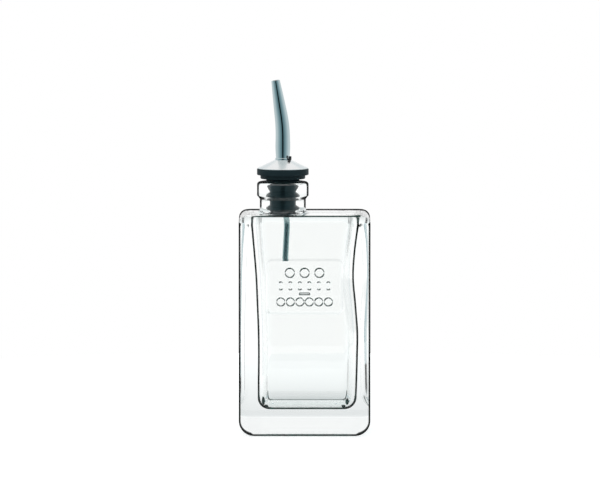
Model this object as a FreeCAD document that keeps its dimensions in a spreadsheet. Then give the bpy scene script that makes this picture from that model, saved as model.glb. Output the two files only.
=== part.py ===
import FreeCAD, Part
import Sketcher
import math
import os

# Vinegar bottle: a thick-walled rectangular glass bottle with its neck set off centre, closed by a black
# finned stopper that carries a steel cone, a curved steel spout and a straight vent tube.
# Frame: millimetres, +Z up, origin at the middle of the base, +X to the bottle's right, +Y to its back.

doc = FreeCAD.newDocument("vinegar_bottle")

# ----------------------------------------------------------------------------------------------------------
# Driving dimensions, in millimetres or degrees. Each one is written here and nowhere else.
# ----------------------------------------------------------------------------------------------------------
DIMENSIONS = [
    ("body_width", 75.0, "glass body, left to right"),
    ("body_depth", 59.0, "glass body, front to back"),
    ("body_height", 126.0, "base to shoulder"),
    ("plan_corner", 9.6, "upright edges of the body"),
    ("heel_radius", 9.0, "edge round the base"),
    ("shoulder_radius", 4.6, "edge round the shoulder"),
    ("punt_radius", 18.0, "shallow hollow under the base"),
    ("punt_depth", 0.8, "its depth at the middle"),
    ("base_glass", 15.3, "glass under the cavity"),
    ("shoulder_glass", 3.9, "glass over the cavity"),
    ("face_glass", 7.5, "front and back walls"),
    ("left_glass_top", 6.8, "left wall under the shoulder"),
    ("left_glass_waist", 9.5, "left wall at the waist"),
    ("left_glass_belly", 10.8, "left wall at the belly"),
    ("left_glass_foot", 10.9, "left wall at the cavity floor"),
    ("right_glass_top", 6.2, "right wall under the shoulder"),
    ("right_glass_waist", 9.4, "right wall at the waist"),
    ("right_glass_belly", 7.0, "right wall at the belly"),
    ("right_glass_foot", 8.2, "right wall at the cavity floor"),
    ("waist_drop", 31.0, "cavity ceiling to the waist"),
    ("belly_rise", 44.0, "cavity floor to the belly"),
    ("cavity_corner", 8.0, "upright edges of the cavity"),
    ("cavity_floor_radius", 6.4, "edge round the cavity floor"),
    ("cavity_top_radius", 2.2, "edge round the cavity ceiling"),
    ("neck_offset", 12.4, "neck axis, to the left of the body's middle"),
    ("neck_radius", 13.1, "outside of the neck"),
    ("neck_length", 17.8, "shoulder to rim"),
    ("neck_root_radius", 2.4, "fillet where the neck leaves the shoulder"),
    ("ring_radius", 14.7, "outside of the finish ring"),
    ("ring_length", 7.8, "finish ring, rim to its lower edge"),
    ("ring_bevel", 1.9, "height of the slope under the ring"),
    ("rim_radius", 1.6, "rounding of the rim's outer edge"),
    ("bore_radius", 9.8, "mouth of the bottle"),
    ("panel_width", 42.8, "sunk field on the front face"),
    ("panel_length", 30.6, "its height"),
    ("panel_rise", 86.3, "base to the field's middle"),
    ("panel_corner", 3.0, "its corners"),
    ("panel_depth", 0.4, "how far it is sunk"),
    ("mark_relief", 0.35, "how far the raised marks stand out of the field"),
    ("mark_length", 4.6, "upright bars, and the small discs' width"),
    ("bar_width", 1.8, "upright bars"),
    ("disc_width", 5.2, "large discs"),
    ("dash_width", 6.0, "level dash"),
    ("dash_length", 0.9, "its height"),
    ("disc_pitch", 8.4, "from one large disc to the next"),
    ("mark_pitch", 5.4, "from one bar or small disc to the next"),
    ("top_row", 7.9, "field's middle up to the row of large discs"),
    ("middle_row", 0.5, "field's middle up to the row of bars"),
    ("dash_row", 4.1, "field's middle down to the dash"),
    ("bottom_row", 8.7, "field's middle down to the row of small discs"),
    ("stopper_lift", 1.8, "gap between the rim and the stopper's step"),
    ("flange_radius", 14.75, "top disc of the stopper"),
    ("flange_height", 3.4, "its height"),
    ("step_radius", 12.8, "smaller disc under it"),
    ("step_height", 2.2, "its height"),
    ("core_radius", 7.4, "stem of the stopper"),
    ("stem_length", 25.2, "stem, below the step"),
    ("stem_tip_radius", 6.4, "end of the stem"),
    ("stem_tip_height", 1.0, "taper at the end of the stem"),
    ("fin_clearance", 0.15, "between a fin's lip and the bore"),
    ("long_fin_drop", 0.9, "stopper's step to the long fin's lip"),
    ("long_fin_lip", 2.4, "height of its lip"),
    ("long_fin_slope", 4.0, "height of the slope under it"),
    ("fin_drop", 9.0, "stopper's step to the next fin's lip"),
    ("fin_pitch", 7.4, "from there from fin to fin"),
    ("fin_lip", 0.6, "height of a fin's lip"),
    ("fin_over", 1.3, "height of the slope over a lip"),
    ("fin_under", 2.2, "height of the slope under a lip"),
    ("flange_edge", 0.4, "rounding of the flange's edges"),
    ("chamber_ledge", 1.0, "hollow under the spout, wider than its socket"),
    ("chamber_drop", 3.2, "stopper's top face to the chamber"),
    ("chamber_height", 7.6, "height of the chamber"),
    ("channel_radius", 3.05, "flow channel down the stem"),
    ("channel_offset", 2.8, "its axis, to the left of the neck axis"),
    ("stem_fit", 0.1, "clearance round the spout and the vent tube"),
    ("cone_edge", 0.5, "upright edge of the steel cone"),
    ("cone_height", 5.2, "stopper's top face to the cone's top"),
    ("cone_inset", 0.5, "cone's edge inside the flange's edge"),
    ("cone_top_ring", 0.7, "width of the flat ring under the spout's collar"),
    ("steel_wall", 0.5, "wall of the spout and of the vent tube"),
    ("spout_foot_radius", 3.9, "spout at its foot"),
    ("spout_socket_depth", 3.0, "spout inside the stopper"),
    ("spout_belly_radius", 4.25, "spout at its widest"),
    ("spout_belly_rise", 7.4, "collar to the widest part"),
    ("spout_straight", 12.0, "collar to the start of the bend"),
    ("spout_bend_radius", 4.15, "spout at the start of its bend"),
    ("spout_neck_radius", 3.75, "spout at the end of its bend"),
    ("spout_mid_radius", 3.1, "spout half way from bend to mouth"),
    ("spout_mouth_radius", 2.4, "spout at its mouth"),
    ("spout_curve", 90.0, "radius of the bend's centre line"),
    ("spout_lean", 9.0, "degrees that the spout leans to the left"),
    ("spout_reach", 19.5, "end of the bend to the mouth"),
    ("collar_bead", 0.45, "bead round the spout's foot"),
    ("collar_height", 0.8, "its height"),
    ("nub_radius", 0.9, "black vent nub beside the spout"),
    ("nub_rise", 2.2, "cone's top to the nub's top"),
    ("nub_gap", 0.05, "between the nub and the collar"),
    ("nub_bearing", 40.0, "degrees that it lies forward of the spout's right side"),
    ("tube_radius", 1.7, "vent tube"),
    ("tube_drop", 21.4, "how far the vent tube hangs out of the stem"),
    ("tube_offset", 2.45, "its axis at the stem's end, right of the neck axis"),
    ("tube_lean", 2.9, "degrees that the vent tube leans"),
]

FIN_COUNT = 3
DISC_COUNT = 3
BAR_COUNT = 6
DOT_COUNT = 6

# Places and sizes that several pieces share, worked out from the driving dimensions.
DERIVED = [
    ("half_width", "dims.body_width / 2"),
    ("half_depth", "dims.body_depth / 2"),
    ("ceiling", "dims.body_height - dims.shoulder_glass"),
    ("waist", "ceiling - dims.waist_drop"),
    ("belly", "dims.base_glass + dims.belly_rise"),
    ("cavity_depth", "half_depth - dims.face_glass"),
    ("left_top", "half_width - dims.left_glass_top"),
    ("left_waist", "half_width - dims.left_glass_waist"),
    ("left_belly", "half_width - dims.left_glass_belly"),
    ("left_foot", "half_width - dims.left_glass_foot"),
    ("right_top", "half_width - dims.right_glass_top"),
    ("right_waist", "half_width - dims.right_glass_waist"),
    ("right_belly", "half_width - dims.right_glass_belly"),
    ("right_foot", "half_width - dims.right_glass_foot"),
    ("neck_x", "-dims.neck_offset"),
    ("neck_start", "ceiling + dims.shoulder_glass / 2"),
    ("rim", "dims.body_height + dims.neck_length"),
    ("ring_foot", "rim - dims.ring_length"),
    ("bevel_foot", "ring_foot - dims.ring_bevel"),
    ("panel_side", "dims.panel_width / 2"),
    ("panel_end", "dims.panel_length / 2"),
    ("field_floor", "half_depth - dims.panel_depth"),
    ("top_row_height", "dims.panel_rise + dims.top_row"),
    ("middle_row_height", "dims.panel_rise + dims.middle_row"),
    ("dash_height", "dims.panel_rise - dims.dash_row"),
    ("bottom_row_height", "dims.panel_rise - dims.bottom_row"),
    ("disc_run", "dims.disc_pitch * %d" % (DISC_COUNT - 1)),
    ("bar_run", "dims.mark_pitch * %d" % (BAR_COUNT - 1)),
    ("dot_run", "dims.mark_pitch * %d" % (DOT_COUNT - 1)),
    ("disc_start", "-disc_run / 2"),
    ("bar_start", "-bar_run / 2"),
    ("dot_start", "-dot_run / 2"),
    ("disc_radius", "dims.disc_width / 2"),
    ("dot_radius", "dims.mark_length / 2"),
    ("half_bar", "dims.bar_width / 2"),
    ("half_mark", "dims.mark_length / 2"),
    ("half_dash", "dims.dash_width / 2"),
    ("half_dash_length", "dims.dash_length / 2"),
    ("bar_corner", "dims.bar_width / 3"),
    ("dash_corner", "dims.dash_length / 3"),
    ("step_foot", "rim + dims.stopper_lift"),
    ("flange_foot", "step_foot + dims.step_height"),
    ("flange_top", "flange_foot + dims.flange_height"),
    ("stem_end", "step_foot - dims.stem_length"),
    ("stem_taper", "stem_end + dims.stem_tip_height"),
    ("lip_radius", "dims.bore_radius - dims.fin_clearance"),
    ("chamber_top", "flange_top - dims.chamber_drop"),
    ("chamber_floor", "chamber_top - dims.chamber_height"),
    ("socket_radius", "dims.spout_foot_radius + dims.stem_fit"),
    ("chamber_radius", "socket_radius + dims.chamber_ledge"),
    ("cone_top_radius", "socket_radius + dims.cone_top_ring"),
    ("collar_radius", "dims.spout_foot_radius + dims.collar_bead"),
    ("nub_offset", "collar_radius + dims.nub_radius + dims.nub_gap"),
    ("channel_x", "neck_x - dims.channel_offset"),
    ("channel_length", "chamber_floor - stem_end"),
    ("channel_start", "stem_end - dims.stem_tip_height"),
    ("channel_run", "channel_length + 2 * dims.stem_tip_height"),
    ("long_lip_top", "step_foot - dims.long_fin_drop"),
    ("long_lip_foot", "long_lip_top - dims.long_fin_lip"),
    ("long_fin_foot", "long_lip_foot - dims.long_fin_slope"),
    ("cone_radius", "dims.flange_radius - dims.cone_inset"),
    ("cone_shoulder", "flange_top + dims.cone_edge"),
    ("collar_foot", "flange_top + dims.cone_height"),
    ("spout_foot", "flange_top - dims.spout_socket_depth"),
    ("lean_sine", "sin(dims.spout_lean * 1 deg)"),
    ("lean_cosine", "cos(dims.spout_lean * 1 deg)"),
    ("bend_start", "collar_foot + dims.spout_straight"),
    ("bend_end", "bend_start + dims.spout_curve * lean_sine"),
    ("bend_end_x", "neck_x - dims.spout_curve * (1 - lean_cosine)"),
    ("belly_height", "collar_foot + dims.spout_belly_rise"),
    ("bend_middle", "bend_start + dims.spout_curve * sin(dims.spout_lean * 0.5 deg)"),
    ("bend_middle_x", "neck_x - dims.spout_curve * (1 - cos(dims.spout_lean * 0.5 deg))"),
    ("bend_middle_radius", "(dims.spout_bend_radius + dims.spout_neck_radius) / 2"),
    ("reach_middle", "bend_end + dims.spout_reach * lean_cosine / 2"),
    ("reach_middle_x", "bend_end_x - dims.spout_reach * lean_sine / 2"),
    ("mouth", "bend_end + dims.spout_reach * lean_cosine"),
    ("mouth_x", "bend_end_x - dims.spout_reach * lean_sine"),
    ("nub_x", "neck_x + nub_offset * cos(dims.nub_bearing * 1 deg)"),
    ("nub_y", "-nub_offset * sin(dims.nub_bearing * 1 deg)"),
    ("nub_length", "dims.cone_height + dims.nub_rise"),
    ("nub_hole_radius", "dims.nub_radius + dims.stem_fit"),
    ("tube_bore", "dims.tube_radius - dims.steel_wall"),
    ("tube_hole_radius", "dims.tube_radius + dims.stem_fit"),
    ("tube_run", "dims.tube_drop + channel_length"),
    ("tube_hole_run", "tube_run + dims.chamber_height / 2"),
    ("tube_x", "neck_x + dims.tube_offset - dims.tube_drop * sin(dims.tube_lean * 1 deg)"),
    ("tube_foot", "stem_end - dims.tube_drop * cos(dims.tube_lean * 1 deg)"),
]
for number in range(1, FIN_COUNT + 1):
    fin = "fin_%d" % number
    DERIVED.append((fin + "_top", "step_foot - dims.fin_drop - dims.fin_pitch * %d" % (number - 1)))
    DERIVED.append((fin + "_over", fin + "_top + dims.fin_over"))
    DERIVED.append((fin + "_foot", fin + "_top - dims.fin_lip"))
    DERIVED.append((fin + "_under", fin + "_foot - dims.fin_under"))


def fill_sheet(name, cells):
    """A spreadsheet with one aliased cell for each entry."""
    sheet = doc.addObject("Spreadsheet::Sheet", name)
    for row, (alias, content) in enumerate(cells, start=1):
        sheet.set("A%d" % row, alias.replace("_", " "))
        sheet.set("B%d" % row, content)
        sheet.setAlias("B%d" % row, alias)
    doc.recompute()
    return sheet


dims = fill_sheet("dims", [(alias, repr(value)) for alias, value, meaning in DIMENSIONS])
places = fill_sheet("places", [(alias, "=" + formula) for alias, formula in DERIVED])


def size(name):
    """Value of a cell, named as its sheet and alias, such as dims.body_width."""
    owner, alias = name.split(".")
    return float(doc.getObject(owner).get(alias))


# ----------------------------------------------------------------------------------------------------------
# Sketches and features
# ----------------------------------------------------------------------------------------------------------
def new_body(name):
    """An empty body whose label is its name."""
    body = doc.addObject("PartDesign::Body", name)
    body.Label = name
    return body


def new_sketch(body, name, role, **offset):
    """A sketch on one of the body's own origin planes, moved by formulas along the plane's x, y and z."""
    sketch = body.newObject("Sketcher::SketchObject", name)
    plane = next(feature for feature in body.Origin.OriginFeatures if feature.Role == role)
    sketch.AttachmentSupport = [(plane, "")]
    sketch.MapMode = "FlatFace"
    for axis, formula in offset.items():
        sketch.setExpression("AttachmentOffset.Base." + axis, formula)
    return sketch


def bind(sketch, kind, geometry, cell):
    """A size in a sketch that a cell holds."""
    index = sketch.addConstraint(Sketcher.Constraint(kind, *geometry, size(cell)))
    sketch.setExpression("Constraints[%d]" % index, cell)


def outline(sketch, corners):
    """Closed outline of straight lines to the right of the upright axis. Each corner is a pair of cells, its
    distance from the axis, or None on it, and its height, and each corner is held by those two sizes."""
    points = [FreeCAD.Vector(size(x) if x else 0, size(z), 0) for x, z in corners]
    count = len(points)
    for index, point in enumerate(points):
        sketch.addGeometry(Part.LineSegment(point, points[(index + 1) % count]), False)
    for index in range(count):
        sketch.addConstraint(Sketcher.Constraint("Coincident", index, 2, (index + 1) % count, 1))
    for index, (x, z) in enumerate(corners):
        if x:
            bind(sketch, "DistanceX", (-1, 1, index, 1), x)
        else:
            sketch.addConstraint(Sketcher.Constraint("PointOnObject", index, 1, -2))
        bind(sketch, "DistanceY", (-1, 1, index, 1), z)


def rounded_rectangle(sketch, left, right, low, high, corner):
    """Rectangle with four equal rounded corners. The cells are the distances of its sides from the sketch's
    origin, all positive outwards, and the corners' radius."""
    west, east, south, north = -size(left), size(right), -size(low), size(high)
    radius = size(corner)
    runs = [
        (west + radius, south, east - radius, south),
        (east, south + radius, east, north - radius),
        (east - radius, north, west + radius, north),
        (west, north - radius, west, south + radius),
    ]
    centres = [
        (east - radius, south + radius),
        (east - radius, north - radius),
        (west + radius, north - radius),
        (west + radius, south + radius),
    ]
    for side, (x, y, end_x, end_y) in enumerate(runs):
        line = Part.LineSegment(FreeCAD.Vector(x, y, 0), FreeCAD.Vector(end_x, end_y, 0))
        circle = Part.Circle(FreeCAD.Vector(*centres[side], 0), FreeCAD.Vector(0, 0, 1), radius)
        turn = (side - 1) * math.pi / 2
        sketch.addGeometry(line, False)
        sketch.addGeometry(Part.ArcOfCircle(circle, turn, turn + math.pi / 2), False)
    for line in range(0, 8, 2):
        sketch.addConstraint(Sketcher.Constraint("Tangent", line, 2, line + 1, 1))
        sketch.addConstraint(Sketcher.Constraint("Tangent", line + 1, 2, (line + 2) % 8, 1))
        sketch.addConstraint(Sketcher.Constraint("Vertical" if line % 4 else "Horizontal", line))
    for arc in (3, 5, 7):
        sketch.addConstraint(Sketcher.Constraint("Equal", 1, arc))
    bind(sketch, "Radius", (1,), corner)
    bind(sketch, "DistanceY", (0, 1, -1, 1), low)
    bind(sketch, "DistanceX", (-1, 1, 2, 1), right)
    bind(sketch, "DistanceY", (-1, 1, 4, 1), high)
    bind(sketch, "DistanceX", (6, 1, -1, 1), left)


def pad(body, name, sketch, length):
    """Extrusion of a sketch along its own normal."""
    feature = body.newObject("PartDesign::Pad", name)
    feature.Profile = sketch
    feature.setExpression("Length", length)
    doc.recompute()
    return feature


def turn(body, kind, name, sketch):
    """Full turn of a sketch about its own upright axis, as a Revolution or a Groove."""
    feature = body.newObject("PartDesign::" + kind, name)
    feature.Profile = sketch
    feature.ReferenceAxis = (sketch, ["V_Axis"])
    feature.Angle = 360
    doc.recompute()
    return feature


def fillet(body, name, base, radius, chosen):
    """Rounding of those edges of a feature that a test picks."""
    feature = body.newObject("PartDesign::Fillet", name)
    picked = ["Edge%d" % number for number, edge in enumerate(base.Shape.Edges, start=1) if chosen(edge)]
    feature.Base = (base, picked)
    feature.setExpression("Radius", radius)
    doc.recompute()
    return feature


def level(height):
    """Test for edges that lie at one height."""
    def chosen(edge):
        return edge.BoundBox.ZLength < 1e-3 and abs(edge.BoundBox.ZMin - size(height)) < 1e-3
    return chosen


def level_circle(height, radius):
    """Test for level circles of one radius about the neck axis."""
    def chosen(edge):
        across = abs(edge.BoundBox.XMax - size("places.neck_x") - size(radius))
        return level(height)(edge) and across < 1e-3
    return chosen


def cylinder(name, radius, length, x, z, y="0", tilt="0"):
    """Cylinder that starts at a place and stands upright, or is tilted to the right by some degrees."""
    solid = doc.addObject("Part::Cylinder", name)
    solid.setExpression("Radius", radius)
    solid.setExpression("Height", length)
    solid.Placement.Rotation = FreeCAD.Rotation(FreeCAD.Vector(0, 1, 0), 1)
    solid.setExpression("Placement.Rotation.Angle", tilt)
    solid.setExpression("Placement.Base.x", x)
    solid.setExpression("Placement.Base.y", y)
    solid.setExpression("Placement.Base.z", z)
    return solid


def cut(label, base, tools):
    """What is left of one object when the tools are taken from it, one after the other."""
    for number, tool in enumerate(tools, start=1):
        result = doc.addObject("Part::Cut", "%s_cut_%d" % (label, number))
        result.Base = base
        result.Tool = tool
        base = result
    base.Label = label
    doc.recompute()
    return base


# ----------------------------------------------------------------------------------------------------------
# Glass bottle
# ----------------------------------------------------------------------------------------------------------
def glass_body(body):
    """The outside block with its rounded heel and shoulder, and the shallow hollow under the base."""
    plan = new_sketch(body, "plan", "XY_Plane")
    width, depth = "places.half_width", "places.half_depth"
    rounded_rectangle(plan, width, width, depth, depth, "dims.plan_corner")
    block = pad(body, "block", plan, "dims.body_height")
    shoulder = fillet(body, "shoulder", block, "dims.shoulder_radius", level("dims.body_height"))
    fillet(body, "heel", shoulder, "dims.heel_radius", lambda edge: edge.BoundBox.ZMax < 1e-3)


def punt(body):
    """Shallow hollow under the base, turned from a flat arc through its rim and its middle."""
    sketch = new_sketch(body, "punt_profile", "XZ_Plane")
    radius, depth = size("dims.punt_radius"), size("dims.punt_depth")
    middle = FreeCAD.Vector(0, depth, 0)
    rim = FreeCAD.Vector(radius, 0, 0)
    bow = (radius ** 2 + depth ** 2) / (2 * depth)
    circle = Part.Circle(FreeCAD.Vector(0, depth - bow, 0), FreeCAD.Vector(0, 0, 1), bow)
    half_angle = math.asin(radius / bow)
    sketch.addGeometry(Part.ArcOfCircle(circle, math.pi / 2 - half_angle, math.pi / 2), False)
    sketch.addGeometry(Part.LineSegment(middle, FreeCAD.Vector(0, 0, 0)), False)
    sketch.addGeometry(Part.LineSegment(FreeCAD.Vector(0, 0, 0), rim), False)
    sketch.addConstraint(Sketcher.Constraint("Coincident", 0, 2, 1, 1))
    sketch.addConstraint(Sketcher.Constraint("Coincident", 1, 2, 2, 1))
    sketch.addConstraint(Sketcher.Constraint("Coincident", 2, 2, 0, 1))
    sketch.addConstraint(Sketcher.Constraint("Coincident", 2, 1, -1, 1))
    sketch.addConstraint(Sketcher.Constraint("PointOnObject", 0, 3, -2))
    sketch.addConstraint(Sketcher.Constraint("PointOnObject", 2, 2, -1))
    bind(sketch, "DistanceX", (-1, 1, 2, 2), "dims.punt_radius")
    bind(sketch, "DistanceY", (-1, 1, 1, 1), "dims.punt_depth")
    turn(body, "Groove", "punt", sketch)


def glass_neck(body):
    """Neck and finish ring, with a rounded root and rim."""
    profile = new_sketch(body, "neck_profile", "XZ_Plane", x="places.neck_x")
    outline(profile, [
        (None, "places.neck_start"),
        ("dims.neck_radius", "places.neck_start"),
        ("dims.neck_radius", "places.bevel_foot"),
        ("dims.ring_radius", "places.ring_foot"),
        ("dims.ring_radius", "places.rim"),
        (None, "places.rim"),
    ])
    neck = turn(body, "Revolution", "neck", profile)
    root = level_circle("dims.body_height", "dims.neck_radius")
    rooted = fillet(body, "neck_root", neck, "dims.neck_root_radius", root)
    fillet(body, "rim", rooted, "dims.rim_radius", level_circle("places.rim", "dims.ring_radius"))


def glass_cavity(body):
    """The cavity, whose side walls swell and thin from ceiling to floor, and the bore down into it."""
    stations = [
        ("foot", "dims.base_glass"),
        ("belly", "places.belly"),
        ("waist", "places.waist"),
        ("top", "places.ceiling"),
    ]
    sections = []
    for station, height in stations:
        section = new_sketch(body, "cavity_" + station, "XY_Plane", z=height)
        left, right = "places.left_%s" % station, "places.right_%s" % station
        depth = "places.cavity_depth"
        rounded_rectangle(section, left, right, depth, depth, "dims.cavity_corner")
        sections.append(section)
    cavity = body.newObject("PartDesign::SubtractiveLoft", "cavity")
    cavity.Profile = sections[0]
    cavity.Sections = sections[1:]
    doc.recompute()
    floor = fillet(body, "cavity_floor", cavity, "dims.cavity_floor_radius", level("dims.base_glass"))
    fillet(body, "cavity_ceiling", floor, "dims.cavity_top_radius", level("places.ceiling"))
    mouth = new_sketch(body, "bore_profile", "XZ_Plane", x="places.neck_x")
    outline(mouth, [
        (None, "places.waist"),
        ("dims.bore_radius", "places.waist"),
        ("dims.bore_radius", "places.rim"),
        (None, "places.rim"),
    ])
    turn(body, "Groove", "bore", mouth)


def front_field(body):
    """Sunk field on the front face."""
    outline_sketch = new_sketch(body, "field_outline", "XZ_Plane", y="dims.panel_rise", z="places.half_depth")
    side, end = "places.panel_side", "places.panel_end"
    rounded_rectangle(outline_sketch, side, side, end, end, "dims.panel_corner")
    sunk = body.newObject("PartDesign::Pocket", "field")
    sunk.Profile = outline_sketch
    sunk.setExpression("Length", "dims.panel_depth")
    doc.recompute()


def mark_row(body, name, height, start, draw, run, count):
    """A row of plain raised marks in the field: the first one is drawn and raised, the rest repeat it."""
    sketch = new_sketch(body, name + "_outline", "XZ_Plane", x=start, y=height, z="places.field_floor")
    draw(sketch)
    mark = pad(body, name + "_mark", sketch, "dims.mark_relief")
    row = body.newObject("PartDesign::LinearPattern", name)
    row.Originals = [mark]
    row.Direction = (sketch, ["H_Axis"])
    row.setExpression("Length", run)
    row.Occurrences = count
    body.Tip = row
    doc.recompute()


def disc(radius):
    """Drawing of a round mark."""
    def draw(sketch):
        circle = Part.Circle(FreeCAD.Vector(0, 0, 0), FreeCAD.Vector(0, 0, 1), size(radius))
        sketch.addGeometry(circle, False)
        sketch.addConstraint(Sketcher.Constraint("Coincident", 0, 3, -1, 1))
        bind(sketch, "Radius", (0,), radius)
    return draw


def bar(half_across, half_up, corner):
    """Drawing of a rectangular mark with rounded corners."""
    def draw(sketch):
        rounded_rectangle(sketch, half_across, half_across, half_up, half_up, corner)
    return draw


def raised_marks(body):
    """Large discs, upright bars, a dash and small discs, row under row."""
    large, small = disc("places.disc_radius"), disc("places.dot_radius")
    upright = bar("places.half_bar", "places.half_mark", "places.bar_corner")
    level_bar = bar("places.half_dash", "places.half_dash_length", "places.dash_corner")
    mark_row(
        body, "discs", "places.top_row_height", "places.disc_start", large, "places.disc_run", DISC_COUNT)
    mark_row(
        body, "bars", "places.middle_row_height", "places.bar_start", upright, "places.bar_run", BAR_COUNT)
    dash = new_sketch(body, "dash_outline", "XZ_Plane", y="places.dash_height", z="places.field_floor")
    level_bar(dash)
    pad(body, "dash", dash, "dims.mark_relief")
    mark_row(body, "dots", "places.bottom_row_height", "places.dot_start", small, "places.dot_run", DOT_COUNT)


def make_bottle():
    """The glass bottle, one solid."""
    body = new_body("glass_bottle")
    glass_body(body)
    punt(body)
    glass_neck(body)
    glass_cavity(body)
    front_field(body)
    raised_marks(body)
    return body


# ----------------------------------------------------------------------------------------------------------
# Stopper and its steel parts
# ----------------------------------------------------------------------------------------------------------
def make_vent_tube():
    """Straight thin tube that leans a little to the right as it rises."""
    place = {"x": "places.tube_x", "z": "places.tube_foot", "tilt": "dims.tube_lean"}
    rod = cylinder("tube_rod", "dims.tube_radius", "places.tube_run", **place)
    air = cylinder("tube_air", "places.tube_bore", "places.tube_run", **place)
    return cut("vent_tube", rod, [air])


def make_stopper():
    """Flange, step and finned stem, with the socket and chamber under the spout, the flow channel and the
    vent tube's hole."""
    body = new_body("stopper_blank")
    profile = new_sketch(body, "stopper_profile", "XZ_Plane", x="places.neck_x")
    corners = [
        (None, "places.stem_end"),
        ("dims.stem_tip_radius", "places.stem_end"),
        ("dims.core_radius", "places.stem_taper"),
    ]
    for number in range(FIN_COUNT, 0, -1):
        fin = "places.fin_%d" % number
        if number < FIN_COUNT:
            corners.append(("dims.core_radius", fin + "_under"))
        corners += [
            ("places.lip_radius", fin + "_foot"),
            ("places.lip_radius", fin + "_top"),
            ("dims.core_radius", fin + "_over"),
        ]
    corners += [
        ("dims.core_radius", "places.long_fin_foot"),
        ("places.lip_radius", "places.long_lip_foot"),
        ("places.lip_radius", "places.long_lip_top"),
        ("dims.core_radius", "places.step_foot"),
        ("dims.step_radius", "places.step_foot"),
        ("dims.step_radius", "places.flange_foot"),
        ("dims.flange_radius", "places.flange_foot"),
        ("dims.flange_radius", "places.flange_top"),
        ("places.socket_radius", "places.flange_top"),
        ("places.socket_radius", "places.chamber_top"),
        ("places.chamber_radius", "places.chamber_top"),
        ("places.chamber_radius", "places.chamber_floor"),
        (None, "places.chamber_floor"),
    ]
    outline(profile, corners)
    turned = turn(body, "Revolution", "stopper_turned", profile)
    top, foot = (level_circle(at, "dims.flange_radius") for at in ("places.flange_top", "places.flange_foot"))
    fillet(body, "flange_edges", turned, "dims.flange_edge", lambda edge: top(edge) or foot(edge))
    channel = cylinder(
        "channel", "dims.channel_radius", "places.channel_run", "places.channel_x", "places.channel_start")
    hole = cylinder(
        "tube_hole", "places.tube_hole_radius", "places.tube_hole_run",
        "places.tube_x", "places.tube_foot", tilt="dims.tube_lean")
    return cut("stopper", body, [channel, hole])


def nub_rod(name, radius):
    """Upright cylinder at the nub's place, from the flange to the nub's top."""
    return cylinder(name, radius, "places.nub_length", "places.nub_x", "places.flange_top", y="places.nub_y")


def make_nub():
    """Small black vent nub that stands in a hole of the cone, beside the spout."""
    nub = nub_rod("vent_nub", "dims.nub_radius")
    doc.recompute()
    return nub


def make_cone():
    """Steel cone on the flange, with a flat ring under the spout's collar, and holes for spout and nub."""
    body = new_body("cone_blank")
    profile = new_sketch(body, "cone_profile", "XZ_Plane", x="places.neck_x")
    outline(profile, [
        ("places.socket_radius", "places.flange_top"),
        ("places.cone_radius", "places.flange_top"),
        ("places.cone_radius", "places.cone_shoulder"),
        ("places.cone_top_radius", "places.collar_foot"),
        ("places.socket_radius", "places.collar_foot"),
    ])
    turn(body, "Revolution", "cone_turned", profile)
    return cut("spout_cone", body, [nub_rod("nub_hole", "places.nub_hole_radius")])


def spout_loft(name, inset):
    """Solid through round sections square to the spout's centre line, each smaller than the spout by an
    inset. The sections are turned over, so that the surface's seam runs down the left."""
    stations = [
        ("foot", "places.neck_x", "places.spout_foot", "0 deg", "dims.spout_foot_radius"),
        ("collar", "places.neck_x", "places.collar_foot", "0 deg", "dims.spout_foot_radius"),
        ("belly", "places.neck_x", "places.belly_height", "0 deg", "dims.spout_belly_radius"),
        ("bend_start", "places.neck_x", "places.bend_start", "0 deg", "dims.spout_bend_radius"),
        ("bend_middle", "places.bend_middle_x", "places.bend_middle", "dims.spout_lean * 0.5 deg",
         "places.bend_middle_radius"),
        ("bend_end", "places.bend_end_x", "places.bend_end", "dims.spout_lean * 1 deg",
         "dims.spout_neck_radius"),
        ("reach", "places.reach_middle_x", "places.reach_middle", "dims.spout_lean * 1 deg",
         "dims.spout_mid_radius"),
        ("mouth", "places.mouth_x", "places.mouth", "dims.spout_lean * 1 deg", "dims.spout_mouth_radius"),
    ]
    sections = []
    for station, x, z, lean, radius in stations:
        circle = doc.addObject("Part::Circle", "%s_%s" % (name, station))
        circle.setExpression("Radius", "%s - %s" % (radius, inset))
        circle.Placement.Rotation = FreeCAD.Rotation(FreeCAD.Vector(0, 1, 0), 179)
        circle.setExpression("Placement.Rotation.Angle", "180 deg - " + lean)
        circle.setExpression("Placement.Base.x", x)
        circle.setExpression("Placement.Base.z", z)
        sections.append(circle)
    loft = doc.addObject("Part::Loft", name)
    loft.Sections = sections
    loft.Solid = True
    doc.recompute()
    return loft


def make_spout():
    """Hollow tapering spout with a bead round its foot."""
    collar = cylinder(
        "collar", "places.collar_radius", "dims.collar_height", "places.neck_x", "places.collar_foot")
    outside = doc.addObject("Part::Fuse", "spout_outside")
    outside.Base = spout_loft("spout_skin", "0")
    outside.Tool = collar
    return cut("spout", outside, [spout_loft("spout_bore", "dims.steel_wall")])


parts = [make_bottle(), make_stopper(), make_cone(), make_spout(), make_nub(), make_vent_tube()]

# ----------------------------------------------------------------------------------------------------------
# Checks and export
# ----------------------------------------------------------------------------------------------------------
for thing in doc.Objects:
    if "Invalid" in thing.State or "Error" in thing.State:
        raise RuntimeError("%s did not compute" % thing.Name)
for part in parts:
    if part.Shape.isNull() or not part.Shape.isValid() or len(part.Shape.Solids) != 1:
        raise RuntimeError("%s is not one valid solid" % part.Label)

os.makedirs("parts", exist_ok=True)
for part in parts:
    part.Shape.exportStep("parts/%s.step" % part.Label)
    print("%-14s %9.1f mm3" % (part.Label, part.Shape.Volume))
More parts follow.
